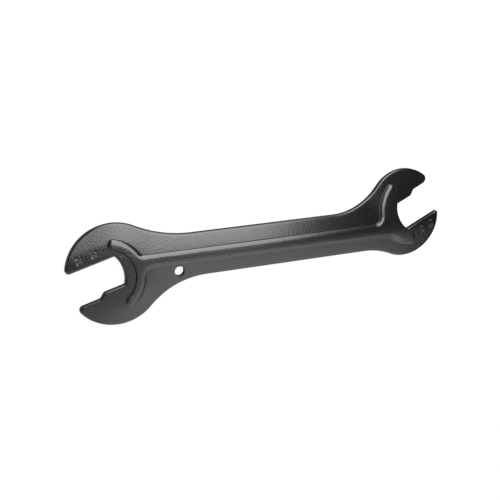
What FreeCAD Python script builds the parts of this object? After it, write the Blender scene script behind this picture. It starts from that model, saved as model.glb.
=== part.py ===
"""Pressed sheet-steel double-ended pedal wrench, one solid, lying rib side up.

The blank is drawn on the handle's centre line: X runs along the handle, the left head
takes 13 and 15 mm, the right head 14 and 16 mm. Each head is described once, as if it
were the left one, and the right head is the same drawing turned half round.
"""
import FreeCAD, Part
import math
import os
import Sketcher
from FreeCAD import Vector

doc = FreeCAD.newDocument("pedal_wrench")

# Driving dimensions in millimetres and degrees
SIZES = {
    "sheet_thickness": 2.2,
    "handle_width": 19.18,
    "press_edge_radius": 0.4,
    "hang_hole_diameter": 4.33,
    "hang_hole_along": 41.4,
    "hang_hole_drop": 6.52,
    # Left head: the plain disc carries the straight jaw, the step disc the stepped jaw
    "left_plain_disc_radius": 20.97,
    "left_plain_disc_along": 69.09,
    "left_plain_disc_drop": 3.2,
    "left_step_disc_radius": 20.17,
    "left_step_disc_along": 69.22,
    "left_step_disc_drop": 6.07,
    "left_plain_neck_radius": 54.35,
    "left_step_neck_radius": 36.34,
    "left_jaw_angle": 15.0,
    "left_jaw_along": 69.155,
    "left_jaw_drop": 4.635,
    "left_plain_edge": 7.99,
    "left_inner_size": 13.1,
    "left_outer_size": 15.1,
    "left_step_foot": 6.18,
    "left_step_head": 9.7,
    "left_throat_along": 9.32,
    "left_throat_side": 1.3,
    "left_throat_radius": 13.35,
    "left_plain_tip_radius": 1.6,
    "left_step_tip_radius": 1.9,
    "left_ring_inner_along": 73.12,
    "left_ring_inner_drop": 5.26,
    "left_ring_inner_radius": 12.33,
    "left_ring_outer_along": 72.68,
    "left_ring_outer_drop": 5.52,
    "left_ring_outer_radius": 17.2,
    "left_plain_fork_radius": 2.0,
    "left_step_fork_radius": 4.0,
    "left_plain_tip_angle": 75.0,
    "left_step_tip_angle": -48.0,
    # Right head, in the same turned frame
    "right_plain_disc_radius": 18.42,
    "right_plain_disc_along": 70.65,
    "right_plain_disc_drop": 4.22,
    "right_step_disc_radius": 17.71,
    "right_step_disc_along": 70.05,
    "right_step_disc_drop": 10.03,
    "right_plain_neck_radius": 34.63,
    "right_step_neck_radius": 28.5,
    "right_jaw_angle": 24.02,
    "right_jaw_along": 70.31,
    "right_jaw_drop": 7.03,
    "right_plain_edge": 8.45,
    "right_inner_size": 14.1,
    "right_outer_size": 16.1,
    "right_step_foot": 5.5,
    "right_step_head": 9.22,
    "right_throat_along": 10.36,
    "right_throat_side": 1.4,
    "right_throat_radius": 13.81,
    "right_plain_tip_radius": 0.8,
    "right_step_tip_radius": 2.3,
    "right_ring_inner_along": 74.0,
    "right_ring_inner_drop": 9.05,
    "right_ring_inner_radius": 11.85,
    "right_ring_outer_along": 75.07,
    "right_ring_outer_drop": 8.68,
    "right_ring_outer_radius": 18.12,
    "right_plain_fork_radius": 8.0,
    "right_step_fork_radius": 2.8,
    "right_plain_tip_angle": 91.0,
    "right_step_tip_angle": -41.0,
    # Both jaw openings
    "throat_corner_radius": 0.5,
    "step_foot_radius": 1.9,
    "step_head_radius": 1.6,
    "mouth_overrun": 6.0,
    # Pressed rib: its edges on the sheet, its height and the groove behind it
    "rib_upper_edge": 2.98,
    "rib_gauge_along": 45.0,
    "rib_lower_edge_left": 3.45,
    "rib_lower_edge_right": 4.6,
    "rib_height": 1.3,
    "rib_crown_radius": 1.1,
    "rib_foot_radius": 0.5,
    "groove_inset": 1.2,
    "groove_depth": 1.2,
    "groove_root_radius": 0.7,
    "groove_lip_radius": 0.3,
}

sheet = doc.addObject("Spreadsheet::Sheet", "Sizes")
for row, (name, value) in enumerate(SIZES.items(), start=1):
    sheet.set("A%d" % row, name)
    sheet.set("B%d" % row, str(value))
    sheet.setAlias("B%d" % row, name)
doc.recompute()


def size(name):
    """The value that the sheet holds under this name."""
    return float(sheet.get(name))


ORIGIN = -1          # the sketch's own origin counts as this shape
FIRST, LAST, CENTRE = range(1, 4)          # a piece's two ends and its centre
ROUND_SHARE = 0.9    # the most of a wall that a round on its edge takes
HALF_TURN = {"left": 1.0, "right": -1.0}   # both heads are worked out as the left one


def flat(x, y):
    return Vector(x, y, 0.0)


def angle_of(vector):
    return math.atan2(vector.y, vector.x)


def on_line_at_reach(centre, reach, point, along, offset):
    """The point that lies reach from centre, on the line moved offset to its left."""
    left = flat(-along.y, along.x)
    side = (point - centre).dot(left) + offset
    return centre + along * math.sqrt(reach ** 2 - side ** 2) + left * side


def circles_meet(first, first_radius, second, second_radius):
    """Where two circles cross, on the left of the way from the first to the second."""
    way = second - first
    gap = way.Length
    way = way / gap
    reach = (gap ** 2 + first_radius ** 2 - second_radius ** 2) / (2 * gap)
    rise = math.sqrt(first_radius ** 2 - reach ** 2)
    return first + way * reach + flat(-way.y, way.x) * rise


class Outline:
    """A closed run of lines and arcs in one sketch, with its sizes tied to the sheet."""

    def __init__(self, body, name, along=None, across=None, turn=None, height=None):
        self.sketch = body.newObject("Sketcher::SketchObject", name)
        plane = [p for p in body.Origin.OriginFeatures if p.Role == "XY_Plane"][0]
        self.sketch.AttachmentSupport = [(plane, "")]
        self.sketch.MapMode = "FlatFace"
        seat = {"Base.x": along, "Base.y": across, "Base.z": height, "Rotation.Angle": turn}
        for part_of_seat, formula in seat.items():
            if formula:
                self.sketch.setExpression("AttachmentOffset." + part_of_seat, formula)
        self.ends = []

    def line(self, start, end):
        number = self.sketch.addGeometry(Part.LineSegment(start, end), False)
        self.ends.append((number, FIRST, LAST))
        return number

    def arc(self, centre, start, end, anticlockwise):
        radius = (start - centre).Length
        circle = Part.Circle(centre, Vector(0, 0, 1), radius)
        low, high = (start, end) if anticlockwise else (end, start)
        begin = angle_of(low - centre)
        finish = angle_of(high - centre)
        if finish < begin:
            finish += 2 * math.pi
        number = self.sketch.addGeometry(Part.ArcOfCircle(circle, begin, finish), False)
        self.ends.append((number, FIRST, LAST) if anticlockwise else (number, LAST, FIRST))
        return number

    def join(self, sharp=()):
        """Ties each piece to the next one, tangent unless its number is in sharp."""
        for here, there in zip(self.ends, self.ends[1:] + self.ends[:1]):
            kind = "Coincident" if here[0] in sharp else "Tangent"
            self.sketch.addConstraint(Sketcher.Constraint(kind, here[0], here[2], there[0], there[1]))

    def tie(self, formula, kind, *where):
        number = self.sketch.addConstraint(Sketcher.Constraint(kind, *where))
        if formula:
            self.sketch.setExpression("Constraints[%d]" % number, formula)

    def radius(self, number, formula):
        self.tie(formula, "Radius", number, self.sketch.Geometry[number].Radius)

    def place(self, number, point, along=None, across=None):
        """Sets a point's distance from the origin; the sheet's value is positive."""
        spot = self.sketch.getPoint(number, point)
        for formula, kind, value in ((along, "DistanceX", spot.x), (across, "DistanceY", spot.y)):
            if formula is None:
                continue
            if value < 0:
                self.tie(formula, kind, number, point, ORIGIN, FIRST, -value)
            else:
                self.tie(formula, kind, ORIGIN, FIRST, number, point, value)


def blank_outline(body):
    """The stamped blank: a parallel handle, four hollow necks and two discs a head."""
    outline = Outline(body, "blank_outline")
    half = size("handle_width") / 2
    heads = {}
    for side in ("left", "right"):
        plain = flat(-size(side + "_plain_disc_along"), -size(side + "_plain_disc_drop"))
        step = flat(-size(side + "_step_disc_along"), -size(side + "_step_disc_drop"))
        plain_radius = size(side + "_plain_disc_radius")
        step_radius = size(side + "_step_disc_radius")
        plain_neck = size(side + "_plain_neck_radius")
        step_neck = size(side + "_step_neck_radius")
        above = on_line_at_reach(plain, plain_radius + plain_neck, flat(0, half), flat(1, 0), plain_neck)
        below = on_line_at_reach(step, step_radius + step_neck, flat(0, -half), flat(1, 0), -step_neck)
        spots = {
            "plain": plain, "step": step, "above": above, "below": below,
            "nose": circles_meet(step, step_radius, plain, plain_radius),
            "above_touch": plain + (above - plain).normalize() * plain_radius,
            "below_touch": step + (below - step).normalize() * step_radius,
            "start": flat(above.x, half), "end": flat(below.x, -half)}
        heads[side] = {name: spot * HALF_TURN[side] for name, spot in spots.items()}
    discs = []
    necks = []
    for side, other in (("left", "right"), ("right", "left")):
        spot = heads[side]
        plain_neck = outline.arc(spot["above"], spot["start"], spot["above_touch"], False)
        plain_disc = outline.arc(spot["plain"], spot["above_touch"], spot["nose"], True)
        step_disc = outline.arc(spot["step"], spot["nose"], spot["below_touch"], True)
        step_neck = outline.arc(spot["below"], spot["below_touch"], spot["end"], False)
        necks += [(plain_neck, side + "_plain_neck_radius"), (step_neck, side + "_step_neck_radius")]
        discs += [(plain_disc, side + "_plain_disc"), (step_disc, side + "_step_disc")]
        edge = outline.line(spot["end"], heads[other]["start"])
        outline.tie(None, "Horizontal", edge)
        outline.place(edge, FIRST, across="Sizes.handle_width / 2")
    outline.join(sharp=[number for number, name in discs if "plain" in name])
    for number, name in necks:
        outline.radius(number, "Sizes." + name)
    for number, name in discs:
        outline.radius(number, "Sizes.%s_radius" % name)
        outline.place(number, CENTRE, "Sizes.%s_along" % name, "Sizes.%s_drop" % name)
    return outline.sketch


def jaw_outline(body, side):
    """The opening, in the jaw's own frame: X out of the mouth, the plain jaw below."""
    sign = "-" if side == "left" else ""
    half_turn = "180 + " if side == "left" else ""
    outline = Outline(body, side + "_jaw_outline",
                      along="%sSizes.%s_jaw_along" % (sign, side),
                      across="%sSizes.%s_jaw_drop" % (sign, side),
                      turn="%sSizes.%s_jaw_angle" % (half_turn, side))
    plain = size(side + "_plain_edge")
    inner = size(side + "_inner_size") - plain
    outer = size(side + "_outer_size") - plain
    out = size(side + "_plain_disc_radius") + size("mouth_overrun")
    throat = flat(size(side + "_throat_along"), -size(side + "_throat_side"))
    throat_radius = size(side + "_throat_radius")
    corner_radius = size("throat_corner_radius")
    foot_radius = size("step_foot_radius")
    head_radius = size("step_head_radius")
    back = on_line_at_reach(throat, throat_radius, flat(0, -plain), flat(-1, 0), 0)
    corner = on_line_at_reach(throat, throat_radius - corner_radius, flat(0, inner), flat(-1, 0), corner_radius)
    corner_touch = throat + (corner - throat).normalize() * throat_radius
    foot = flat(size(side + "_step_foot"), inner + foot_radius)
    head = flat(size(side + "_step_head"), outer - head_radius)
    way = head - foot
    slope = angle_of(way) + math.asin((foot_radius + head_radius) / way.Length)
    normal = flat(-math.sin(slope), math.cos(slope))
    plain_line = outline.line(flat(out, -plain), back)
    throat_arc = outline.arc(throat, back, corner_touch, False)
    corner_arc = outline.arc(corner, corner_touch, flat(corner.x, inner), False)
    inner_line = outline.line(flat(corner.x, inner), flat(foot.x, inner))
    foot_arc = outline.arc(foot, flat(foot.x, inner), foot - normal * foot_radius, True)
    outline.line(foot - normal * foot_radius, head + normal * head_radius)
    head_arc = outline.arc(head, head + normal * head_radius, flat(head.x, outer), False)
    outer_line = outline.line(flat(head.x, outer), flat(out, outer))
    mouth_line = outline.line(flat(out, outer), flat(out, -plain))
    outline.join(sharp=(plain_line, outer_line, mouth_line))
    for number in (plain_line, inner_line, outer_line):
        outline.tie(None, "Horizontal", number)
    outline.tie(None, "Vertical", mouth_line)
    outline.place(plain_line, FIRST, "Sizes.%s_plain_disc_radius + Sizes.mouth_overrun" % side,
                  "Sizes.%s_plain_edge" % side)
    outline.place(inner_line, FIRST, across="Sizes.%s_inner_size - Sizes.%s_plain_edge" % (side, side))
    outline.place(outer_line, FIRST, across="Sizes.%s_outer_size - Sizes.%s_plain_edge" % (side, side))
    outline.place(throat_arc, CENTRE, "Sizes.%s_throat_along" % side, "Sizes.%s_throat_side" % side)
    outline.radius(throat_arc, "Sizes.%s_throat_radius" % side)
    outline.radius(corner_arc, "Sizes.throat_corner_radius")
    outline.radius(foot_arc, "Sizes.step_foot_radius")
    outline.radius(head_arc, "Sizes.step_head_radius")
    outline.place(foot_arc, CENTRE, along="Sizes.%s_step_foot" % side)
    outline.place(head_arc, CENTRE, along="Sizes.%s_step_head" % side)
    return outline.sketch


def rib_outline(body, name, inset_name=None, height=None):
    """The rib with a C round each jaw, drawn smaller all round by the named inset."""
    outline = Outline(body, name, height=height)
    inset = size(inset_name) if inset_name else 0.0
    less = " - Sizes." + inset_name if inset_name else ""
    more = " + Sizes." + inset_name if inset_name else ""
    gauge = size("rib_gauge_along")
    upper = size("rib_upper_edge") - inset
    low_left = flat(-gauge, inset - size("rib_lower_edge_left"))
    low_right = flat(gauge, inset - size("rib_lower_edge_right"))
    along_low = (low_right - low_left).normalize()
    # Each head's plain side meets one edge of the rib and its step side the other one
    edges = {"left": ((flat(0, upper), flat(1, 0)), (low_left, along_low)),
             "right": ((low_left * -1, along_low), (flat(0, -upper), flat(1, 0)))}
    joints = {}
    for side in ("left", "right"):
        inner = flat(-size(side + "_ring_inner_along"), -size(side + "_ring_inner_drop"))
        outer = flat(-size(side + "_ring_outer_along"), -size(side + "_ring_outer_drop"))
        inner_radius = size(side + "_ring_inner_radius") + inset
        outer_radius = size(side + "_ring_outer_radius") - inset
        plain_fork = size(side + "_plain_fork_radius") + inset
        step_fork = size(side + "_step_fork_radius") + inset
        (plain_point, plain_way), (step_point, step_way) = edges[side]
        above = on_line_at_reach(outer, outer_radius + plain_fork, plain_point, plain_way, plain_fork)
        below = on_line_at_reach(outer, outer_radius + step_fork, step_point, step_way, -step_fork)
        caps = []
        for tip in ("plain", "step"):
            tip_angle = math.radians(size("%s_%s_tip_angle" % (side, tip)))
            way = flat(math.cos(tip_angle), math.sin(tip_angle))
            between = inner - outer
            lean = between.dot(way)
            room = outer_radius ** 2 - inner_radius ** 2 - between.Length ** 2 - 2 * inner_radius * lean
            cap_radius = room / (2 * (outer_radius + inner_radius + lean))
            cap = inner + way * (inner_radius + cap_radius)
            caps.append((cap, inner + way * inner_radius, outer + (cap - outer).normalize() * outer_radius))
        joints[side] = {
            "above": above, "below": below, "inner": inner, "outer": outer,
            "above_line": above - flat(-plain_way.y, plain_way.x) * plain_fork,
            "below_line": below + flat(-step_way.y, step_way.x) * step_fork,
            "above_ring": outer + (above - outer).normalize() * outer_radius,
            "below_ring": outer + (below - outer).normalize() * outer_radius,
            "plain_cap": caps[0][0], "plain_inside": caps[0][1], "plain_outside": caps[0][2],
            "step_cap": caps[1][0], "step_inside": caps[1][1], "step_outside": caps[1][2]}
        joints[side] = {name: spot * HALF_TURN[side] for name, spot in joints[side].items()}
    rails = []
    for side, other in (("left", "right"), ("right", "left")):
        spot = joints[side]
        plain_fork = outline.arc(spot["above"], spot["above_line"], spot["above_ring"], False)
        upper_ring = outline.arc(spot["outer"], spot["above_ring"], spot["plain_outside"], True)
        plain_cap = outline.arc(spot["plain_cap"], spot["plain_outside"], spot["plain_inside"], True)
        inner_ring = outline.arc(spot["inner"], spot["plain_inside"], spot["step_inside"], False)
        step_cap = outline.arc(spot["step_cap"], spot["step_inside"], spot["step_outside"], True)
        lower_ring = outline.arc(spot["outer"], spot["step_outside"], spot["below_ring"], True)
        step_fork = outline.arc(spot["below"], spot["below_ring"], spot["below_line"], False)
        rails.append(outline.line(spot["below_line"], joints[other]["above_line"]))
        ring = "Sizes.%s_ring_" % side
        outline.radius(plain_fork, "Sizes.%s_plain_fork_radius%s" % (side, more))
        outline.radius(step_fork, "Sizes.%s_step_fork_radius%s" % (side, more))
        outline.radius(upper_ring, ring + "outer_radius" + less)
        outline.place(upper_ring, CENTRE, ring + "outer_along", ring + "outer_drop")
        outline.tie(None, "Coincident", upper_ring, CENTRE, lower_ring, CENTRE)
        outline.tie(None, "Equal", upper_ring, lower_ring)
        outline.radius(inner_ring, ring + "inner_radius" + more)
        outline.place(inner_ring, CENTRE, ring + "inner_along", ring + "inner_drop")
        for tip, cap in (("plain", plain_cap), ("step", step_cap)):
            spoke = outline.sketch.addGeometry(Part.LineSegment(spot["inner"], spot[tip + "_cap"]), True)
            outline.tie(None, "Coincident", spoke, FIRST, inner_ring, CENTRE)
            outline.tie(None, "Coincident", spoke, LAST, cap, CENTRE)
            lean = angle_of(spot[tip + "_cap"] - spot["inner"])
            half_turn = "180 + " if side == "right" else ""
            outline.tie("%sSizes.%s_%s_tip_angle" % (half_turn, side, tip), "Angle", spoke, lean)
    outline.join()
    lower_rail, upper_rail = rails
    outline.tie(None, "Horizontal", upper_rail)
    outline.place(upper_rail, FIRST, across="Sizes.rib_upper_edge" + less)
    for point, edge in ((low_left, "rib_lower_edge_left"), (low_right, "rib_lower_edge_right")):
        mark = outline.sketch.addGeometry(Part.Point(point), True)
        outline.place(mark, FIRST, "Sizes.rib_gauge_along", "Sizes." + edge + less)
        outline.tie(None, "PointOnObject", mark, FIRST, lower_rail)
    return outline.sketch


def feature(body, kind, name, sketch, length=None, upwards=True):
    """Pads or pockets a sketch from its own plane; a pocket with no length goes right through."""
    made = body.newObject("PartDesign::" + kind, name)
    made.Profile = sketch
    if length:
        made.Type = 0
        made.setExpression("Length", length)
    else:
        made.Type = 1
    made.Reversed = upwards if kind == "Pocket" else not upwards
    doc.recompute()
    return made


def round_over(body, name, base, picks, radius, wall=None):
    """Rounds the picked edges of the feature that the body ends in, within the wall if one is named."""
    made = body.newObject("PartDesign::Fillet", name)
    made.Base = (base, ["Edge%d" % (i + 1) for i, edge in enumerate(base.Shape.Edges) if picks(edge)])
    made.setExpression("Radius", "min(%s; %g * (%s))" % (radius, ROUND_SHARE, wall) if wall else radius)
    doc.recompute()
    return made


NEAR = 1e-4


def lies_at(edge, height):
    return abs(edge.BoundBox.ZMin - height) < NEAR and abs(edge.BoundBox.ZMax - height) < NEAR


def rim_of(shape, height, facing):
    """The edges round the largest level face at this height, as a test for one edge."""
    faces = [f for f in shape.Faces if abs(f.BoundBox.ZMin - height) < NEAR
             and abs(f.BoundBox.ZMax - height) < NEAR and f.normalAt(0, 0).z * facing > 0]
    widest = max(faces, key=lambda f: f.Area)
    rim = widest.OuterWire.Edges
    return lambda edge: any(edge.isSame(other) for other in rim)


def wall_between(shape, height, low, high):
    """Tests for an edge at this height on a wall that spans low to high."""
    def picks(edge):
        if not lies_at(edge, height):
            return False
        walls = shape.ancestorsOfType(edge, Part.Face)
        return any(abs(w.BoundBox.ZMin - low) < NEAR and abs(w.BoundBox.ZMax - high) < NEAR for w in walls)
    return picks


body = doc.addObject("PartDesign::Body", "wrench")
body.Label = "wrench"
top = size("sheet_thickness")
crest = top + size("rib_height")

# Stamped blank
blank = feature(body, "Pad", "blank", blank_outline(body), "Sizes.sheet_thickness")

# Jaw openings, each cut from mouth to throat
opened = blank
for side in ("left", "right"):
    before = opened.Shape.Volume
    opened = feature(body, "Pocket", side + "_jaw", jaw_outline(body, side))
    if opened.Shape.Volume > before - 1:
        raise RuntimeError(side + " jaw cut nothing")

# Rounded jaw tips: each is the upright edge where a jaw edge leaves its disc
rounded = opened
for side in ("left", "right"):
    lean = math.radians(size(side + "_jaw_angle"))
    out = flat(-math.cos(lean), -math.sin(lean))
    left_of_out = flat(math.sin(lean), -math.cos(lean))
    middle = flat(-size(side + "_jaw_along"), -size(side + "_jaw_drop"))
    plain = size(side + "_plain_edge")
    for jaw, shift in (("plain", -plain), ("step", size(side + "_outer_size") - plain)):
        disc = flat(-size("%s_%s_disc_along" % (side, jaw)), -size("%s_%s_disc_drop" % (side, jaw)))
        disc_radius = size("%s_%s_disc_radius" % (side, jaw))
        tip = on_line_at_reach(disc, disc_radius, middle + left_of_out * shift, out, 0) * HALF_TURN[side]
        uprights = [e for e in rounded.Shape.Edges if abs(e.BoundBox.ZLength - top) < NEAR
                    and e.BoundBox.XLength < NEAR and e.BoundBox.YLength < NEAR]
        nearest = min(uprights, key=lambda e: math.hypot(e.CenterOfMass.x - tip.x, e.CenterOfMass.y - tip.y))
        rounded = round_over(body, "%s_%s_tip" % (side, jaw), rounded, nearest.isSame,
                             "Sizes.%s_%s_tip_radius" % (side, jaw))

# Edge drawn down by the press, all round the upper face
drawn = round_over(body, "press_edge", rounded, rim_of(rounded.Shape, top, 1), "Sizes.press_edge_radius")

# Hang hole
hole_outline = Outline(body, "hang_hole_outline")
hole_circle = hole_outline.sketch.addGeometry(Part.Circle(
    flat(-size("hang_hole_along"), -size("hang_hole_drop")), Vector(0, 0, 1), size("hang_hole_diameter") / 2))
hole_outline.radius(hole_circle, "Sizes.hang_hole_diameter / 2")
hole_outline.place(hole_circle, CENTRE, "Sizes.hang_hole_along", "Sizes.hang_hole_drop")
pierced = feature(body, "Pocket", "hang_hole", hole_outline.sketch)

# Raised rib with a C round each jaw, its crown and its foot rounded
raised = feature(body, "Pad", "rib", rib_outline(body, "rib_outline", height="Sizes.sheet_thickness"),
                 "Sizes.rib_height")
crowned = round_over(body, "rib_crown", raised, lambda edge: lies_at(edge, crest),
                     "Sizes.rib_crown_radius", "Sizes.rib_height")
crown_start = crest - crowned.Radius.Value
footed = round_over(body, "rib_foot", crowned, wall_between(crowned.Shape, top, top, crown_start),
                    "Sizes.rib_foot_radius")

# Groove that the same press leaves on the underside
grooved = feature(body, "Pocket", "groove", rib_outline(body, "groove_outline", "groove_inset"),
                  "Sizes.groove_depth")
rooted = round_over(body, "groove_root", grooved, lambda edge: lies_at(edge, size("groove_depth")),
                    "Sizes.groove_root_radius", "Sizes.groove_depth - Sizes.groove_lip_radius")
root_start = size("groove_depth") - rooted.Radius.Value
finished = round_over(body, "groove_lip", rooted, wall_between(rooted.Shape, 0.0, 0.0, root_start),
                      "Sizes.groove_lip_radius")
if grooved.Shape.Volume > footed.Shape.Volume - 1:
    raise RuntimeError("the groove cut nothing")

# The frame's origin is under the middle of the overall box
body.Tip = finished
doc.recompute()
box = finished.Shape.optimalBoundingBox(True, False)
body.Placement = FreeCAD.Placement(Vector(-box.Center.x, -box.Center.y, 0), FreeCAD.Rotation())
doc.recompute()

for item in doc.Objects:
    if {"Invalid", "Error"} & set(item.State):
        raise RuntimeError("%s failed: %s" % (item.Name, item.State))
if body.Shape.isNull() or not body.Shape.isValid() or len(body.Shape.Solids) != 1:
    raise RuntimeError("the wrench is not one sound solid")

os.makedirs("parts", exist_ok=True)
body.Shape.exportStep("parts/%s.step" % body.Label)
print("wrench", body.Shape.BoundBox, "volume", round(body.Shape.Volume, 1), "moved by", body.Placement.Base)
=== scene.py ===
"""A pedal wrench pressed from steel sheet and coated satin black, rib side up on a white floor."""
import math

import bpy
import numpy as np
from mathutils import Matrix, Vector
from mathutils.geometry import delaunay_2d_cdt


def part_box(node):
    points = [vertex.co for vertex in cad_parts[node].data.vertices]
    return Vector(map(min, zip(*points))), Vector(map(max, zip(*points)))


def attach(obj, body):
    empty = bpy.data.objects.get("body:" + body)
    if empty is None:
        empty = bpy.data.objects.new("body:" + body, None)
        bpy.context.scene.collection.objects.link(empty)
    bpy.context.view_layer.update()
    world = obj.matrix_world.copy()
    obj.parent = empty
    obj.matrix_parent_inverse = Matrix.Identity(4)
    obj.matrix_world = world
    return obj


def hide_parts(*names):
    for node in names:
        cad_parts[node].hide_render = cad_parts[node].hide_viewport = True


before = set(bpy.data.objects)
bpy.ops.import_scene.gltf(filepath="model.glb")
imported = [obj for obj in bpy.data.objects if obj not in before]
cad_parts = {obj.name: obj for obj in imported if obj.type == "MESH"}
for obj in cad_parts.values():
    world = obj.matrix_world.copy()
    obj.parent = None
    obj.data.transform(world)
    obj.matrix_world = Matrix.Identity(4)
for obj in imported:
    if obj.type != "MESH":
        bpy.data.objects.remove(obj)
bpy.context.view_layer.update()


# The blank
# One piece of 2.2 mm steel sheet, stamped to outline: a parallel handle that runs through hollow
# necks into two heads. Each head is two discs, cut by a jaw that is straight on one side and
# stepped on the other. The plan is in millimetres as complex numbers, X along the handle.
SHEET = 2.2
HALF_HANDLE = 9.59
STEP_FOOT_RADIUS = 1.9
STEP_HEAD_RADIUS = 1.6
THROAT_CORNER = 0.5
LEFT_HEAD = dict(
    plain_disc=-69.09 - 3.2j, plain_radius=20.97, step_disc=-69.22 - 6.07j, step_radius=20.17,
    plain_neck=54.35, step_neck=36.34, jaw=-69.155 - 4.635j, lean=15.0, plain_edge=7.99,
    inner=13.1, outer=15.1, foot=6.18, head=9.7, throat=9.32 - 1.3j, throat_radius=13.35,
    plain_tip=1.6, step_tip=1.9)
RIGHT_HEAD = dict(
    plain_disc=-70.65 - 4.22j, plain_radius=18.42, step_disc=-70.05 - 10.03j, step_radius=17.71,
    plain_neck=34.63, step_neck=28.5, jaw=-70.31 - 7.03j, lean=24.02, plain_edge=8.45,
    inner=14.1, outer=16.1, foot=5.5, head=9.22, throat=10.36 - 1.4j, throat_radius=13.81,
    plain_tip=0.8, step_tip=2.3)
HOLE = -41.4 - 6.52j
HOLE_RADIUS = 2.165


def reach_along(centre, reach, point, way, offset=0.0):
    """The point that lies reach from centre, ahead on the line through point moved offset to its left."""
    side = ((point - centre) / way).imag + offset
    return centre + way * (math.sqrt(reach ** 2 - side ** 2) + 1j * side)


def toward(start, end, length):
    """The point at that length from start towards end."""
    return start + (end - start) / abs(end - start) * length


def head_run(head):
    """One head's edge, drawn as the left one: a list of (centre or None, start, end, way round).

    The discs are circles, the necks are circles outside them that touch the handle's edge, and
    the jaw is drawn out of its mouth in a frame turned by its lean.
    """
    plain = head["plain_disc"]
    step = head["step_disc"]
    neck_reach = head["plain_radius"] + head["plain_neck"]
    neck = reach_along(plain, neck_reach, 1j * HALF_HANDLE, 1, head["plain_neck"])
    hollow_reach = head["step_radius"] + head["step_neck"]
    hollow = reach_along(step, hollow_reach, -1j * HALF_HANDLE, 1, -head["step_neck"])
    out = -np.exp(1j * math.radians(head["lean"]))
    shift = head["plain_edge"]
    low = head["inner"] - shift
    high = head["outer"] - shift

    def jaw(spot):
        return head["jaw"] + out * spot

    tip_reach = head["plain_radius"] - head["plain_tip"]
    plain_tip = reach_along(plain, tip_reach, jaw(-1j * shift), out, -head["plain_tip"])
    tip_reach = head["step_radius"] - head["step_tip"]
    step_tip = reach_along(step, tip_reach, jaw(1j * high), out, head["step_tip"])
    throat = jaw(head["throat"])
    back = reach_along(throat, head["throat_radius"], jaw(-1j * shift), -out)
    corner = reach_along(throat, head["throat_radius"] - THROAT_CORNER, jaw(1j * low), -out, THROAT_CORNER)
    foot = jaw(head["foot"] + 1j * (low + STEP_FOOT_RADIUS))
    brow = jaw(head["head"] + 1j * (high - STEP_HEAD_RADIUS))
    slant = (brow - foot) / abs(brow - foot)
    slant *= np.exp(1j * math.asin((STEP_FOOT_RADIUS + STEP_HEAD_RADIUS) / abs(brow - foot)))
    side = 1j * out
    spots = [
        (neck, neck.real + 1j * HALF_HANDLE, toward(plain, neck, head["plain_radius"]), -1),
        (plain, None, plain + (plain_tip - plain) / abs(plain_tip - plain) * head["plain_radius"], 1),
        (plain_tip, None, plain_tip + side * head["plain_tip"], 1),
        (None, None, back, 0),
        (throat, None, toward(throat, corner, head["throat_radius"]), -1),
        (corner, None, corner + side * THROAT_CORNER, -1),
        (None, None, foot - side * STEP_FOOT_RADIUS, 0),
        (foot, None, foot - 1j * slant * STEP_FOOT_RADIUS, 1),
        (None, None, brow + 1j * slant * STEP_HEAD_RADIUS, 0),
        (brow, None, brow + side * STEP_HEAD_RADIUS, -1),
        (None, None, step_tip - side * head["step_tip"], 0),
        (step_tip, None, step + (step_tip - step) / abs(step_tip - step) * head["step_radius"], 1),
        (step, None, toward(step, hollow, head["step_radius"]), 1),
        (hollow, None, hollow.real - 1j * HALF_HANDLE, -1)]
    return chained(spots)


def chained(spots):
    """Gives each piece of a run the end of the piece before it as its start."""
    run = []
    for centre, start, end, turn in spots:
        run.append((centre, run[-1][2] if start is None else start, end, turn))
    return run


def half_turned(run):
    """The same run turned half round about the origin of the plan."""
    return [(None if c is None else -c, -start, -end, turn) for c, start, end, turn in run]


def closed(left, right):
    """Joins two heads' runs with straight pieces into one ring, anticlockwise."""
    lower = (None, left[-1][2], right[0][1], 0)
    upper = (None, right[-1][2], left[0][1], 0)
    return left + [lower] + right + [upper]


def sweep_of(centre, start, end, turn):
    """The angle that an arc turns through, with its sign."""
    angle = np.angle((end - centre) / (start - centre))
    return angle % (2 * math.pi) if turn > 0 else -((-angle) % (2 * math.pi))


def walked(ring, spacing):
    """Points along a ring of arcs and lines, about that far apart: equal shares of each piece."""
    pieces = []
    for centre, start, end, turn in ring:
        if centre is None:
            count = max(1, round(abs(end - start) / spacing))
            pieces.append(start + (end - start) * np.arange(count) / count)
        else:
            sweep = sweep_of(centre, start, end, turn)
            count = max(2, math.ceil(abs(sweep * (start - centre)) / spacing))
            pieces.append(centre + (start - centre) * np.exp(1j * sweep * np.arange(count) / count))
    return np.concatenate(pieces)


CORNER_LIMIT = 0.5


def inward(points):
    """The way into the ring at each of its points, longer at a corner so that edges keep their distance.

    It is square to the mean of the ways before and after the point, over the cosine of half the corner.
    """
    before = points - np.roll(points, 1)
    after = np.roll(points, -1) - points
    before = before / abs(before)
    after = after / abs(after)
    middle = before + after
    middle /= abs(middle)
    return 1j * middle / np.maximum((middle / after).real, CORNER_LIMIT)


blank = closed(head_run(LEFT_HEAD), half_turned(head_run(RIGHT_HEAD)))


# The bow of the sheet
# The same press stroke bows the steel a little: a band along the handle and a strip along each jaw
# stay up, and from there the sheet falls away to its edges. The bow lets the handle's upper side
# catch the light while the right head stays dark.
BOW_HEIGHT = 0.31
SLOPE_ABOVE = 0.055
SLOPE_BELOW = 0.05
SLOPE_CHANGE = 1.5
FLAT_BAND = dict(middle=0.53, half=2.32, bend=2.6)
# Each head, the way it points, how far from its jaw's middle line it stays up, and the bend there
FLAT_HEADS = ((LEFT_HEAD, -1, 14.0, 3.5), (RIGHT_HEAD, 1, 9.3, 14.0))
MOUTH_BEND = 6.0
JOIN = 1.2
HEAD_START = 52.0


def hinge(distance, bend):
    """Nothing, then the distance itself, joined by a hyperbola over about that bend."""
    return (np.sqrt(distance ** 2 + (bend / 3) ** 2) + distance) / 2


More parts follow.
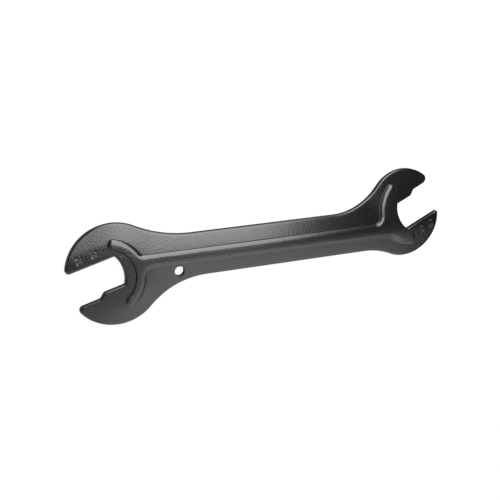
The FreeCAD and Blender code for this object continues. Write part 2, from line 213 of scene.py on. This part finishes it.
def bow(points):
    """How far the sheet stands over its flat height.

    The fall is the smooth least of three hinges: past the band along the handle, and past a
    rounded strip along each jaw that is open at the mouth. Its slope changes over the middle.
    """
    falls = [hinge(abs(points.imag - FLAT_BAND["middle"]) - FLAT_BAND["half"], FLAT_BAND["bend"])]
    side = points.imag
    for head, way, reach, bend in FLAT_HEADS:
        spot = (points + way * head["jaw"]) / way / np.exp(1j * math.radians(head["lean"]))
        falls.append(hinge(np.hypot(hinge(-spot.real, MOUTH_BEND), spot.imag) - reach, bend))
        side = np.where(points.real * way > HEAD_START, spot.imag * way, side)
    fall = -JOIN * np.log(sum(np.exp(-one / JOIN) for one in falls))
    slope = SLOPE_BELOW + (SLOPE_ABOVE - SLOPE_BELOW) * (1 + np.tanh(side / SLOPE_CHANGE)) / 2
    return BOW_HEIGHT - slope * fall


# The pressed rib
# A ridge pressed up from below that runs along the handle and opens into a C round each jaw.
# Its outer flanks are rounded and its wall round each jaw is steep. The press leaves a narrower
# groove of the same plan on the underside.
RIB_HEIGHT = 0.945
RIB_UPPER = 2.98
RIB_LOWER = (-45 - 3.45j, 45 - 4.6j)
OUTER_FLANK = 2.7
SOFT_FLANK = 3.3
TIP_WALL = 0.9
SOFT_FOOT = 0.9
RAIL_FLANK = 2.35
JAW_WALL = 0.5
JAW_POWER = 1.3
JAW_CROWN = 0.15
FOOT_WALL = 0.3
FOOT_SHARE = 0.38
CROWN_POWER = 2.8
# The skin's close rows reach this far in from a jaw's circle, past the wall's round crown
JAW_ROWS = 0.9
LEFT_RING = dict(inner=-73.12 - 5.26j, inner_radius=12.33, outer=-72.68 - 5.52j, outer_radius=17.2,
                 plain_fork=2.0, step_fork=4.0, plain_tip=75.0, step_tip=-48.0)
RIGHT_RING = dict(inner=-74.0 - 9.05j, inner_radius=11.85, outer=-75.07 - 8.68j, outer_radius=18.12,
                  plain_fork=8.0, step_fork=2.8, plain_tip=91.0, step_tip=-41.0)


def ring_run(ring, above_line, below_line):
    """One C of the rib as the left one, from the rib's upper edge round to its lower edge.

    Each tip is a circle that touches both circles of the C, and each fork a circle that
    touches the C's outer circle and one edge of the rib.
    """
    inner = ring["inner"]
    outer = ring["outer"]
    small = ring["inner_radius"]
    large = ring["outer_radius"]
    above = reach_along(outer, large + ring["plain_fork"], *above_line, ring["plain_fork"])
    below = reach_along(outer, large + ring["step_fork"], *below_line, -ring["step_fork"])
    between = inner - outer
    tips = []
    for name in ("plain_tip", "step_tip"):
        way = np.exp(1j * math.radians(ring[name]))
        lean = (between * way.conjugate()).real
        spare = large ** 2 - small ** 2 - abs(between) ** 2 - 2 * small * lean
        radius = spare / (2 * (large + small + lean))
        tip = inner + way * (small + radius)
        tips.append((tip, toward(inner, tip, small), toward(outer, tip, large)))
    (plain, plain_in, plain_out), (step, step_in, step_out) = tips
    return chained([
        (above, above - 1j * above_line[1] * ring["plain_fork"], toward(outer, above, large), -1),
        (outer, None, plain_out, 1),
        (plain, None, plain_in, 1),
        (inner, None, step_in, -1),
        (step, None, step_out, 1),
        (outer, None, toward(outer, below, large), 1),
        (below, None, below + 1j * below_line[1] * ring["step_fork"], -1)])


low_way = (RIB_LOWER[1] - RIB_LOWER[0]) / abs(RIB_LOWER[1] - RIB_LOWER[0])
rib = closed(
    ring_run(LEFT_RING, (1j * RIB_UPPER, 1), (RIB_LOWER[0], low_way)),
    half_turned(ring_run(RIGHT_RING, (-RIB_LOWER[0], low_way), (-1j * RIB_UPPER, 1))))
# Each piece's flank width and how soft its foot is, from its start to its end, and None where the
# piece is a jaw's wall. The lower half of each C melts into the sheet without a wall, and the flank
# round a tip narrows towards the jaw's wall.
CRISP = (OUTER_FLANK, 0)
SOFT = (SOFT_FLANK, 1)
WALL = (TIP_WALL, 0)
RAIL = (RAIL_FLANK, 0)
left_flanks = [(RAIL, CRISP), (CRISP, CRISP), (CRISP, WALL), None,
               (WALL, SOFT), (SOFT, SOFT), (SOFT, RAIL), (RAIL, RAIL)]
right_flanks = [(RAIL, SOFT), (SOFT, SOFT), (SOFT, WALL), None,
                (WALL, CRISP), (CRISP, CRISP), (CRISP, RAIL), (RAIL, RAIL)]
rib_flanks = left_flanks + right_flanks
FAR_OUTSIDE = -1000.0
PIECE_SLACK = 0.001


def depth_in_rib(points, walls=False):
    """How far each point lies inside the rib's edge, the flank's width there, and how soft its foot is.

    For a line the depth is the distance to its left, for an arc the radius less the distance
    from the centre; the nearest piece of the ring counts, a jaw's wall only when asked for.
    """
    depth = np.full(points.shape, FAR_OUTSIDE)
    flank = np.full(points.shape, OUTER_FLANK)
    softness = np.zeros(points.shape)
    for (centre, start, end, turn), flanks in zip(rib, rib_flanks):
        if flanks is None and not walls:
            continue
        first, last = flanks or ((JAW_ROWS, 0), (JAW_ROWS, 0))
        if centre is None:
            spot = (points - start) / (end - start)
            share = spot.real
            here = spot.imag * abs(end - start)
            beside = (share >= -PIECE_SLACK) & (share <= 1 + PIECE_SLACK)
        else:
            sweep = sweep_of(centre, start, end, turn)
            spot = (points - centre) / (start - centre)
            share = (np.angle(spot) * np.sign(sweep)) % (2 * math.pi) / abs(sweep)
            here = (1 - abs(spot)) * abs(start - centre) * np.sign(sweep)
            beside = share <= 1 + PIECE_SLACK
        nearer = beside & (abs(here) < abs(depth))
        depth = np.where(nearer, here, depth)
        share = np.clip(share, 0, 1)
        flank = np.where(nearer, first[0] + (last[0] - first[0]) * share, flank)
        softness = np.where(nearer, first[1] + (last[1] - first[1]) * share, softness)
    return depth, flank, softness


def eased(share):
    """From 0 to 1, level at both ends: three squares less two cubes."""
    share = np.clip(share, 0, 1)
    return share ** 2 * (3 - 2 * share)


def flank_rise(points):
    """From 0 to 1 across a flank: a short steep wall and a round crown.

    The crown is one less a power of the share of the flank that is left. A soft flank has no
    wall, and its crown is eased in over a hollow foot.
    """
    depth, flank, softness = depth_in_rib(points)
    crown = 1 - (1 - np.clip(depth / flank, 0, 1)) ** CROWN_POWER
    crisp = FOOT_SHARE * eased(depth / FOOT_WALL) + (1 - FOOT_SHARE) * crown
    return crisp + softness * (crown * eased(depth / SOFT_FOOT) - crisp)


def jaw_rise(points):
    """From 0 to 1 across each jaw's wall: a power of the distance past its circle, smoothly held at 1."""
    rise = 1.0
    for way, ring in ((1, LEFT_RING), (-1, RIGHT_RING)):
        out = np.maximum(abs(points - way * ring["inner"]) - ring["inner_radius"], 0) / JAW_WALL
        rise = rise * (1 - hinge(1 - out ** JAW_POWER, JAW_CROWN) / hinge(1, JAW_CROWN))
    return rise


GROOVE_INSET = 1.2
GROOVE_DEPTH = 0.8
GROOVE_FLANK = 1.6


def underside_bow(points):
    """The bow of the underside, which never goes below the floor."""
    return np.maximum(bow(points), 0)


def underside_height(points):
    """The underside's bow and the groove in it, eased up to its depth over its flank."""
    inset = depth_in_rib(points, walls=True)[0] - GROOVE_INSET
    return underside_bow(points) + GROOVE_DEPTH * eased(inset / GROOVE_FLANK)


# The size numbers
# Plain figures struck into the straight jaw of each head, 13 and 15 on the left, 14 and 16 on the
# right. They are struck before coating, and the coating has softened them, most on the right.
STROKE = 0.45
FIGURE_HEIGHT = 2.4
FIGURE_STEP = 2.35
FIGURE_SHIFT = 0.3
LEFT_STRIKE = 0.28
RIGHT_STRIKE = 0.1
# Each figure is a few strokes in a box 0.6 wide and 1 high
FIGURES = {
    "1": [0.1 + 0.75j, 0.3 + 1j, 0.3 + 0j],
    "3": [0.05 + 0.9j, 0.3 + 1j, 0.55 + 0.8j, 0.45 + 0.55j, 0.25 + 0.52j, 0.5 + 0.45j, 0.6 + 0.22j,
          0.3 + 0j, 0 + 0.12j],
    "4": [0.45 + 0j, 0.45 + 1j, 0 + 0.3j, 0.62 + 0.3j],
    "5": [0.55 + 1j, 0.1 + 1j, 0.05 + 0.55j, 0.35 + 0.62j, 0.6 + 0.35j, 0.45 + 0.05j, 0 + 0.05j],
    "6": [0.5 + 0.97j, 0.2 + 0.8j, 0.02 + 0.35j, 0.25 + 0j, 0.58 + 0.2j, 0.5 + 0.5j, 0.2 + 0.55j,
          0.04 + 0.38j]}
left_up = -np.exp(1j * math.radians(LEFT_HEAD["lean"]))
right_up = np.exp(1j * math.radians(RIGHT_HEAD["lean"]))
NUMBERS = [("15", -84.1 + 4.9j, left_up, LEFT_STRIKE), ("13", -77.8 + 7.0j, left_up, LEFT_STRIKE),
           ("16", 84.73 - 0.8j, right_up, RIGHT_STRIKE), ("14", 79.71 - 3.32j, right_up, RIGHT_STRIKE)]


def number_strokes():
    """Every stroke of every figure as (start, end, depth) in the plan."""
    strokes = []
    for text, middle, up, struck in NUMBERS:
        for place, figure in enumerate(text):
            corner = middle + up * (-1j * FIGURE_STEP * (place - 1) - 0.5 * FIGURE_HEIGHT)
            path = [corner + up * (1j * FIGURE_SHIFT + FIGURE_HEIGHT * (spot.imag - 1j * spot.real))
                    for spot in FIGURES[figure]]
            strokes += [(start, end, struck) for start, end in zip(path[:-1], path[1:])]
    return strokes


strokes = number_strokes()


def number_depth(points):
    """A round-bottomed groove along each stroke.

    Its depth is the struck depth times the square of one less the square of the distance's share.
    """
    depth = np.zeros(points.shape)
    for start, end, struck in strokes:
        share = np.clip(((points - start) / (end - start)).real, 0, 1)
        distance = abs(points - start - share * (end - start))
        depth = np.maximum(depth, struck * np.clip(1 - (distance / STROKE) ** 2, 0, 1) ** 2)
    return depth


# The skin
# The wrench's whole coated surface: a band carried round the blank's edge, a band round the hole,
# and the two faces between them. The press draws the upper edge down to a small round and leaves
# the lower edge nearly sharp.
EDGE_SPACING = 0.4
PRESS_ROUND = (0.68, 0.5)
SHARP_JAW = 0.25
RIGHT_JAW_MIDDLE = 76.5 + 9.8j
RIGHT_JAW_REACH = 13.0
SHARP_RAMP = 3
LOWER_BREAK = 0.12
BREAK_BEND = 0.3
ROUND_ROWS = 7
UPPER_FROM = 0.6
HOLE_ROUND = (0.18, 0.18)
HOLE_POINTS = 64


def top_height(points):
    """The sheet, its bow and the rib, less the numbers.

    The rib's share of its height is the product of its flanks' rise and its jaw walls' rise.
    """
    rib_rise = RIB_HEIGHT * flank_rise(points) * jaw_rise(points)
    return SHEET + bow(points) + rib_rise - number_depth(points)


def edge_band(points, round_in, round_down, lower):
    """Rows from the lower face up the wall and over the rounded upper edge, as (plan, height).

    The round is a quarter of an ellipse, given as one size or as one for each point.
    """
    way = inward(points)
    round_in = round_in * np.ones(points.shape)
    round_down = round_down * np.ones(points.shape)
    flush = 0 * round_in
    rows = [(flush + lower, 0.0), (flush + lower * BREAK_BEND, lower * BREAK_BEND), (flush, lower),
            (flush, (SHEET - round_down) / 2)]
    rows += [(round_in * (1 - math.cos(angle)), SHEET - round_down * (1 - math.sin(angle)))
             for angle in np.linspace(0, math.pi / 2, ROUND_ROWS)]
    band = []
    for aside, height in rows:
        plan = points + way * aside
        rise = np.where(height > SHEET * UPPER_FROM, bow(plan), underside_bow(plan))
        band.append((plan, height + rise))
    return band


NUDGE = 1e-3
FILL_ALONG = 92
FILL_ACROSS = 30
CLEAR_OUTSIDE = 0.2
CLEAR_INSIDE = 0.15


def face_points(rows, fill):
    """Points for one face: rows beside the rib's edge, and a staggered fill over the rest.

    The rows lie at shares of the flank's width in from the edge, and the fill keeps clear of them.
    """
    path = walked(rib, EDGE_SPACING)
    way = inward(path)
    flank = depth_in_rib(path + way * NUDGE, walls=True)[1]
    beside = np.concatenate([path + way * (share * flank) for share in rows])
    high = fill * math.sqrt(3) / 2
    across, along = np.meshgrid(np.arange(-FILL_ACROSS, FILL_ACROSS, high),
                                np.arange(-FILL_ALONG, FILL_ALONG, fill), indexing="ij")
    along = along + fill / 2 * (np.arange(across.shape[0]) % 2)[:, None]
    spread = (along + 1j * across).ravel()
    depth, flank = depth_in_rib(spread, walls=True)[:2]
    share = depth / flank
    spread = spread[(share < min(rows) - CLEAR_OUTSIDE) | (share > max(rows) + CLEAR_INSIDE)]
    return np.concatenate([beside, spread])


def inside(points, ring):
    """Which points lie inside a ring of points, by counting the edges to their right."""
    crossings = np.zeros(points.shape, int)
    for start, end in zip(ring, np.roll(ring, -1)):
        if start.imag == end.imag:
            continue
        between = (points.imag >= start.imag) != (points.imag >= end.imag)
        run = (points.imag - start.imag) * (end.real - start.real) / (end.imag - start.imag)
        crossings += between & (points.real < start.real + run)
    return crossings % 2 == 1


# The distances to a ring are worked out for a share of the points at a time, to spare memory
CLEAR_PARTS = 40
EDGE_CLEAR = EDGE_SPACING * 0.6


def clear_of(points, ring, gap):
    """Points that are at least gap from every point of the ring."""
    keep = np.ones(points.shape, bool)
    for part in np.array_split(np.arange(len(points)), CLEAR_PARTS):
        keep[part] = abs(points[part][:, None] - ring[None, :]).min(axis=1) > gap
    return points[keep]


SAME_POINT = 1e-6
WITHIN_HOLE = 0.98


def face(edge, hole, spread):
    """Delaunay triangles over the face between an edge ring and a hole ring, through the spread points.

    The hole is told by a radius a little smaller than its ring's, so a few slivers inside the ring
    are kept as well. They lie over the hole's rounded edge and reach up to 0.1 mm into the hole.
    """
    spread = clear_of(spread, np.concatenate([edge, hole]), EDGE_CLEAR)
    spread = spread[inside(spread, edge[::2])]
    spread = spread[abs(spread - HOLE) > HOLE_RADIUS + HOLE_ROUND[0]]
    points = np.concatenate([edge, hole, spread])
    first = len(edge)
    loops = [(i, (i + 1) % first) for i in range(first)]
    loops += [(first + i, first + (i + 1) % len(hole)) for i in range(len(hole))]
    flat = [Vector(pair) for pair in np.column_stack([points.real, points.imag]).tolist()]
    made = delaunay_2d_cdt(flat, loops, [], 0, SAME_POINT)
    source = np.array([old[0] for old in made[3]])
    corners = source[np.array([list(triangle) for triangle in made[2]])]
    centres = points[corners].mean(axis=1)
    keep = inside(centres, edge) & (abs(centres - HOLE) > HOLE_RADIUS * WITHIN_HOLE)
    return points, corners[keep]


def band_faces(rows, count, first):
    """Quads between neighbouring rows of a ring band whose rows follow each other from index first."""
    low = first + np.arange(count)[None, :] + count * np.arange(rows - 1)[:, None]
    after = first + (np.arange(count)[None, :] + 1) % count + count * np.arange(rows - 1)[:, None]
    return np.stack([low, after, after + count, low + count], axis=-1).reshape(-1, 4)


NUMBER_WIDE = 3.2
NUMBER_HIGH = 2.1
NUMBER_SPACING = 0.15
PAST_END = 0.01


def number_grid():
    """A fine grid over each struck number, turned with it."""
    wide, high = np.meshgrid(np.arange(-NUMBER_WIDE, NUMBER_WIDE + PAST_END, NUMBER_SPACING),
                             np.arange(-NUMBER_HIGH, NUMBER_HIGH + PAST_END, NUMBER_SPACING), indexing="ij")
    grid = (high + 1j * wide).ravel()
    return np.concatenate([middle + up * grid for text, middle, up, struck in NUMBERS])


edge = walked(blank, EDGE_SPACING)
hole = HOLE + HOLE_RADIUS * np.exp(-2j * math.pi * np.arange(HOLE_POINTS) / HOLE_POINTS)
# The right jaw is cut after the press has drawn the edge down, so its edge stays sharp
nearness = 1 - abs(edge - RIGHT_JAW_MIDDLE) / RIGHT_JAW_REACH
drawn = 1 - (1 - SHARP_JAW) * eased(nearness * SHARP_RAMP)
edge_round = (PRESS_ROUND[0] * drawn, PRESS_ROUND[1] * drawn)
bands = []
heights = []
quads = []
for ring, round_over in ((edge, edge_round), (hole, HOLE_ROUND)):
    band = edge_band(ring, *round_over, LOWER_BREAK)
    quads.append(band_faces(len(band), len(ring), sum(map(len, bands))))
    for band_plan, band_height in band:
        bands.append(band_plan)
        heights.append(band_height)
row_starts = np.cumsum([0] + [len(row) for row in bands])
edge_rows = len(bands) // 2

# The rows beside the rib's edge, as shares of the flank's width, closest where the flank is steep
TOP_ROWS = (-0.15, -0.05, 0, 0.018, 0.036, 0.054, 0.072, 0.092, 0.12, 0.16, 0.21, 0.28, 0.36, 0.46,
            0.58, 0.72, 0.95)
UNDER_ROWS = (0.3, 0.36, 0.4, 0.44, 0.48, 0.53, 0.6, 0.68, 0.78, 0.9, 1.0)
TOP_FILL = 1.3
UNDER_FILL = 1.6
plans = list(bands)
triangles = []
for rows, fill, edge_row, hole_row, height_of, extra in (
        (TOP_ROWS, TOP_FILL, edge_rows - 1, 2 * edge_rows - 1, top_height, number_grid()),
        (UNDER_ROWS, UNDER_FILL, 0, edge_rows, underside_height, np.zeros(0))):
    spread = np.concatenate([face_points(rows, fill), extra])
    points, corners = face(bands[edge_row], bands[hole_row], spread)
    ring_count = len(edge) + len(hole)
    vertex_of = np.concatenate([row_starts[edge_row] + np.arange(len(edge)),
                                row_starts[hole_row] + np.arange(len(hole)),
                                sum(map(len, plans)) + np.arange(len(points) - ring_count)])
    # The underside's triangles run the other way round, so that they face down
    order = slice(None) if height_of is top_height else slice(None, None, -1)
    triangles.append(vertex_of[corners][:, order])
    plans.append(points[ring_count:])
    heights.append(height_of(points[ring_count:]))
plan = np.concatenate(plans)
height = np.concatenate(heights)

# The plan's origin is on the handle's centre line; the frame's is under the middle of the box
MM_PER_M = 1000
box_low, box_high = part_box("wrench")
plan_middle = complex(plan.real.min() + plan.real.max(), plan.imag.min() + plan.imag.max()) / 2
box_middle = complex(box_low.x + box_high.x, box_low.y + box_high.y) / 2 * MM_PER_M
to_frame = box_middle - plan_middle
plan = plan + to_frame
vertices = np.column_stack([plan.real, plan.imag, height]) / MM_PER_M
skin_mesh = bpy.data.meshes.new("wrench_skin")
faces = np.concatenate(quads).tolist() + np.concatenate(triangles).tolist()
skin_mesh.from_pydata(vertices.tolist(), [], faces)
skin_mesh.validate()
skin_mesh.shade_smooth()
skin = bpy.data.objects.new("wrench_skin", skin_mesh)
bpy.context.scene.collection.objects.link(skin)
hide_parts("wrench")
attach(skin, "root")


def linear(colour):
    """The scene's linear values of an sRGB hex colour."""
    shares = [int(colour[i:i + 2], 16) / 255 for i in (1, 3, 5)]
    return [s / 12.92 if s <= 0.04045 else ((s + 0.055) / 1.055) ** 2.4 for s in shares] + [1.0]


def add_node(tree, kind, inputs=None, **settings):
    """Adds one node with its settings; an input is a value, or another node's output to link."""
    node = tree.nodes.new(kind)
    for name, value in settings.items():
        setattr(node, name, value)
    for name, value in (inputs or {}).items():
        if isinstance(value, bpy.types.NodeSocket):
            tree.links.new(value, node.inputs[name])
        else:
            node.inputs[name].default_value = value
    return node


# The satin black powder coat: a thick baked polyester film. It gives a soft sheen that follows the
# form, broken up by the fine bumps of orange peel, and a face that is nearly black out of the light.
# The grain on the peel is drawn coarser than the real few tenths of a millimetre, so that it shows.
COAT_BLACK = "#131313"
COAT_IOR = 1.7
COAT_ROUGHNESS = 0.17
PEEL_SIZE = 1.5
PEEL_HEIGHT = 0.012
GRAIN_SIZE = 0.75
GRAIN_HEIGHT = 0.022


def coat(name, colour, roughness, specular):
    """Powder coat: the shader's constants, and two sizes of noise as its bumps."""
    material = bpy.data.materials.new(name)
    material.use_nodes = True
    tree = material.node_tree
    tree.nodes.clear()
    place = add_node(tree, "ShaderNodeTexCoord").outputs["Object"]
    normal = None
    for size, rise in ((PEEL_SIZE, PEEL_HEIGHT), (GRAIN_SIZE, GRAIN_HEIGHT)):
        noise = add_node(tree, "ShaderNodeTexNoise", {
            "Vector": place, "Scale": MM_PER_M / size, "Detail": 1.0})
        inputs = {"Height": noise.outputs["Fac"], "Distance": rise / MM_PER_M, "Strength": 1.0}
        if normal:
            inputs["Normal"] = normal
        normal = add_node(tree, "ShaderNodeBump", inputs).outputs["Normal"]
    shader = add_node(tree, "ShaderNodeBsdfPrincipled", {
        "Base Color": linear(colour), "Roughness": roughness, "IOR": COAT_IOR,
        "Specular IOR Level": specular, "Normal": normal})
    add_node(tree, "ShaderNodeOutputMaterial", {"Surface": shader.outputs["BSDF"]})
    return material


# The sheared wall of the blank takes the powder thin and dry, so it gives hardly any sheen
WALL_BLACK = "#1f1f1f"
WALL_ROUGHNESS = 0.8
WALL_ROWS = (1, 3)
skin_mesh.materials.append(coat("satin_black_powder_coat", COAT_BLACK, COAT_ROUGHNESS, 0.5))
skin_mesh.materials.append(coat("dry_coat_on_sheared_wall", WALL_BLACK, WALL_ROUGHNESS, 0.0))
row_of_quad = np.concatenate([np.repeat(np.arange(edge_rows - 1), len(ring)) for ring in (edge, hole)])
on_wall = np.zeros(len(faces), np.int32)
on_wall[:len(row_of_quad)] = (row_of_quad >= WALL_ROWS[0]) & (row_of_quad <= WALL_ROWS[1])
skin_mesh.polygons.foreach_set("material_index", on_wall)


# The floor
# A plain white paper sweep that the wrench lies on. It shows white to the camera and in the coat,
# and a grey share of it takes the light, which keeps the wrench's faint shadow.
FLOOR_HALF = 3.0
FLOOR_GLOW = 0.9
FLOOR_MATTE = "#606060"
floor_mesh = bpy.data.meshes.new("floor")
floor_corners = [(-FLOOR_HALF, -FLOOR_HALF, 0), (FLOOR_HALF, -FLOOR_HALF, 0),
                 (FLOOR_HALF, FLOOR_HALF, 0), (-FLOOR_HALF, FLOOR_HALF, 0)]
floor_mesh.from_pydata(floor_corners, [], [(0, 1, 2, 3)])
floor = bpy.data.objects.new("floor", floor_mesh)
bpy.context.scene.collection.objects.link(floor)
paper = bpy.data.materials.new("white_paper_sweep")
paper.use_nodes = True
floor_tree = paper.node_tree
floor_tree.nodes.clear()
rays = add_node(floor_tree, "ShaderNodeLightPath").outputs
seen = rays["Is Camera Ray"]
for ray in ("Is Glossy Ray", "Is Transmission Ray"):
    seen = add_node(floor_tree, "ShaderNodeMath", {0: seen, 1: rays[ray]}, operation="MAXIMUM").outputs[0]
shine = add_node(floor_tree, "ShaderNodeMath", {0: seen, 1: FLOOR_GLOW}, operation="MULTIPLY")
white = add_node(floor_tree, "ShaderNodeEmission", {"Color": linear("#ffffff"), "Strength": shine.outputs[0]})
matte = add_node(floor_tree, "ShaderNodeBsdfDiffuse", {"Color": linear(FLOOR_MATTE)})
both = add_node(floor_tree, "ShaderNodeAddShader", {0: white.outputs[0], 1: matte.outputs[0]})
add_node(floor_tree, "ShaderNodeOutputMaterial", {"Surface": both.outputs[0]})
floor_mesh.materials.append(paper)


# The camera
# It looks down on the wrench from high over the left head, 26 degrees from straight down, as a
# pinhole fit to the photograph's outline gives it in the 500 pixel frame.
FRAME = 500
FOCAL = 805.3166
SENSOR = 36
TILT_X = 0.2494
TILT_Y = 0.3793
ROLL = 0.0362
# How far the camera lies from the plan's origin, along its own three axes
CAMERA_REACH = Vector((-6.9609, -3.1209, 361.1114))
tilt = Matrix.Rotation(TILT_X, 3, "X") @ Matrix.Rotation(TILT_Y, 3, "Y") @ Matrix.Rotation(ROLL, 3, "Z")
turn = tilt.transposed()
camera_place = turn @ CAMERA_REACH + Vector((to_frame.real, to_frame.imag, 0))
lens = bpy.data.cameras.new("camera")
lens.sensor_width = SENSOR
lens.lens = SENSOR * FOCAL / FRAME
lens.shift_x = -0.5 / FRAME
lens.shift_y = 0.5 / FRAME
lens.clip_start = 0.01
camera = bpy.data.objects.new("camera", lens)
camera.matrix_world = Matrix.Translation(camera_place / MM_PER_M) @ turn.to_4x4()
bpy.context.scene.collection.objects.link(camera)
bpy.context.scene.camera = camera


# The light
# Soft boxes and panels round the wrench, each square to the middle of the handle. The boxes overhead
# and behind light what tilts to the back, the panels in front light what tilts to the front, and the
# dark gap between them keeps what lies flat nearly black.
LAMP_REACH = 0.6
LAMPS = {
    "overhead_box": dict(way=(0.255, 0.129, 0.958), wide=0.219, high=0.433, glow=2.2, roll=-0.09),
    "soft_box": dict(way=(0.181, 0.311, 0.935), wide=0.36, high=0.615, glow=2.7, roll=-0.06),
    "front_panel": dict(way=(0.223, -0.725, 0.652), wide=0.317, high=0.638, glow=0.82, roll=-0.16),
    "front_wall": dict(way=(0.009, -0.737, 0.676), wide=0.966, high=0.689, glow=0.71, roll=-0.03),
    "back_box": dict(way=(0.102, 0.762, 0.639), wide=0.416, high=0.527, glow=3.0, roll=0.26)}
for name, spec in LAMPS.items():
    away = Vector(spec["way"]).normalized()
    aside = Vector((0, 1, 0)).cross(away).normalized()
    upward = away.cross(aside)
    lamp_turn = Matrix((aside, upward, away)).transposed() @ Matrix.Rotation(spec["roll"], 3, "Z")
    lamp = bpy.data.lights.new(name, "AREA")
    lamp.shape = "RECTANGLE"
    lamp.size = spec["wide"]
    lamp.size_y = spec["high"]
    # A lamp of that many watts for its area shines with the glow
    lamp.energy = math.pi * spec["wide"] * spec["high"] * spec["glow"]
    housing = bpy.data.objects.new(name, lamp)
    housing.matrix_world = Matrix.Translation(away * LAMP_REACH) @ lamp_turn.to_4x4()
    housing.visible_camera = False
    bpy.context.scene.collection.objects.link(housing)

# The room: pale walls near the horizon, and a dark ceiling. The glow falls with the square root of
# the height, until the ceiling starts.
HORIZON_GLOW = 1.5
CEILING_GLOW = 0.03
CEILING_FROM = 0.5
world = bpy.data.worlds.new("room")
world.use_nodes = True
room_tree = world.node_tree
room_tree.nodes.clear()
sky_way = add_node(room_tree, "ShaderNodeTexCoord").outputs["Generated"]
sky_height = add_node(room_tree, "ShaderNodeSeparateXYZ", {"Vector": sky_way}).outputs["Z"]
share_up = add_node(room_tree, "ShaderNodeMath", {0: sky_height, 1: CEILING_FROM}, operation="DIVIDE")
root_up = add_node(room_tree, "ShaderNodeMath", {0: share_up.outputs[0], 1: 0.5}, operation="POWER")
fall = add_node(room_tree, "ShaderNodeMapRange", {
    "Value": root_up.outputs[0], "To Min": HORIZON_GLOW, "To Max": CEILING_GLOW})
sky = add_node(room_tree, "ShaderNodeBackground", {
    "Color": linear("#ffffff"), "Strength": fall.outputs["Result"]})
add_node(room_tree, "ShaderNodeOutputWorld", {"Surface": sky.outputs[0]})
bpy.context.scene.world = world

bpy.context.scene.view_settings.view_transform = "Standard"
